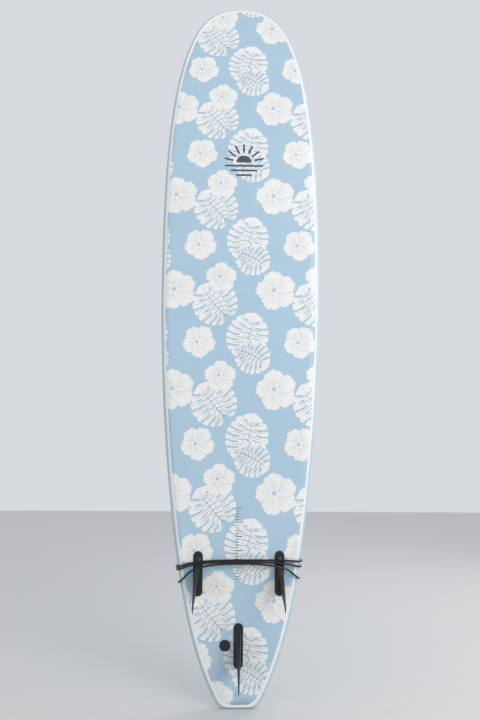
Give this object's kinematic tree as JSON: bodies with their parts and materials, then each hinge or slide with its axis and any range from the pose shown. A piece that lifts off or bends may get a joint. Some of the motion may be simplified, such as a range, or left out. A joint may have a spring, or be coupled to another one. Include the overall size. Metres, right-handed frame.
{
  "type": "longboard surfboard",
  "caption": "Soft-top longboard surfboard with fins screwed through from the deck, a leash plug and its leash wound round the tail.",
  "frame": {"origin": "centre of the flat tail end", "axes": "+Z from the tail to the nose, -Y out of the bottom where the fins are, +Y out of the deck"},
  "size_m": [0.6096, 0.2223, 2.7428],
  "materials": {
    "core_foam": "bead foam",
    "stringer_wood": "raw",
    "skin_foam": "fine soft foam",
    "slick_sheet": "satin sheet with a printed pattern",
    "seam_sheet": "satin",
    "fin_plastic": "satin moulded",
    "insert_brass": "knurled",
    "screw_steel": "machined",
    "plug_plastic": "satin moulded",
    "bar_steel": "polished",
    "string_braid": "braided",
    "webbing": "woven",
    "swivel_plastic": "gloss moulded",
    "horn_rubber": "matte moulded",
    "cord_urethane": "smooth urethane",
    "cuff_padding": "foam-backed knit",
    "cuff_fabric": "woven"
  },
  "bodies": {
    "board": {"core_left": "core_foam", "core_centre": "core_foam", "core_right": "core_foam", "stringer_left": "stringer_wood", "stringer_right": "stringer_wood", "deck_skin": "skin_foam", "bottom_slick": "slick_sheet", "seam_strip": "seam_sheet", "fin_left": "fin_plastic", "fin_right": "fin_plastic", "fin_centre": "fin_plastic", "fin_inserts": "insert_brass", "fin_screws": "screw_steel", "fin_deck_plugs": "plug_plastic", "leash_plug_cup": "plug_plastic", "leash_plug_bar": "bar_steel", "leash_plug_base": "plug_plastic", "leash_plug_screw": "screw_steel", "leash_string": "string_braid", "rail_saver": "webbing", "rail_saver_fold": "webbing", "rail_swivel_housing": "swivel_plastic", "rail_horn": "horn_rubber", "leash_cord": "cord_urethane", "cuff_horn": "horn_rubber", "cuff_swivel_housing": "swivel_plastic", "ankle_cuff": "cuff_padding", "cuff_strap": "webbing", "cuff_pull_tab": "webbing", "cuff_key_pocket": "cuff_fabric"},
    "rail_swivel": {"rail_swivel_pin": "bar_steel"},
    "cuff_swivel": {"cuff_swivel_pin": "bar_steel"}
  },
  "joints": [
    {"name": "rail_swivel_spin", "type": "hinge", "parent": "board", "child": "rail_swivel", "pos_m": [0.1222, 0.0314, 0.362], "axis": [0.7588, -0.0779, 0.6466], "continuous": true},
    {"name": "cuff_swivel_spin", "type": "hinge", "parent": "board", "child": "cuff_swivel", "pos_m": [-0.097, 0.0462, 0.504], "axis": [-0.9763, -0.1797, -0.1208], "continuous": true}
  ]
}
